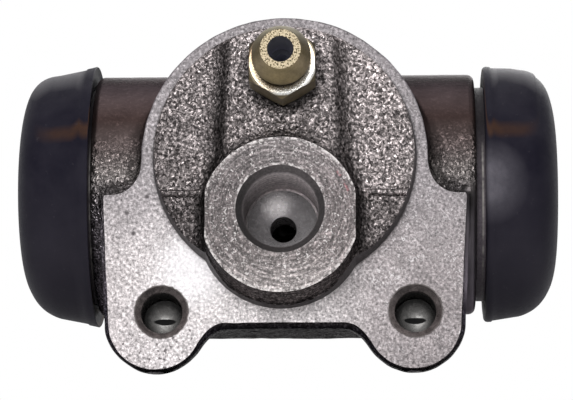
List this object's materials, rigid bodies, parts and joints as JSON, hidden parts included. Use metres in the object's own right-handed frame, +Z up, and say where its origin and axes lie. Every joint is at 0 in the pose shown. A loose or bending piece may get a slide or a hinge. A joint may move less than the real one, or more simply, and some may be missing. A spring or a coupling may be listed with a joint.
{
  "type": "wheel cylinder",
  "caption": "Double-ended cast-iron drum brake wheel cylinder with mounting flange, inlet boss, bleed screw and black rubber boots.",
  "frame": {"origin": "centre of the locating spigot on the mounting face", "axes": "+X along the bore, +Z up towards the bleed screw, -Y out of the mounting face towards the backing plate"},
  "size_m": [0.0672, 0.0498, 0.0432],
  "materials": {
    "casting": "rough cast with machined faces",
    "screw_zinc": "yellow passivated zinc",
    "boot_rubber": "satin",
    "piston_alloy": "turned",
    "seal_rubber": "satin",
    "spring_steel": "drawn"
  },
  "bodies": {
    "cylinder": {"body": "casting", "left_boot": "boot_rubber", "right_boot": "boot_rubber", "return_spring": "spring_steel"},
    "bleed_screw": {"bleed_screw": "screw_zinc"},
    "left_piston": {"left_piston": "piston_alloy", "left_cup_seal": "seal_rubber", "left_cup_expander": "spring_steel"},
    "right_piston": {"right_piston": "piston_alloy", "right_cup_seal": "seal_rubber", "right_cup_expander": "spring_steel"}
  },
  "joints": [
    {"name": "left_piston_slide", "type": "slide", "parent": "cylinder", "child": "left_piston", "axis": [-1, 0, 0], "range_m": [0, 0.006], "deforming": ["left_boot", "return_spring"]},
    {"name": "right_piston_slide", "type": "slide", "parent": "cylinder", "child": "right_piston", "axis": [1, 0, 0], "range_m": [0, 0.006], "deforming": ["right_boot", "return_spring"]},
    {"name": "bleed_screw_turn", "type": "hinge", "parent": "cylinder", "child": "bleed_screw", "pos_m": [0, 0, 0.00935], "axis": [0, -1, 0], "range_deg": [0, 360]}
  ]
}
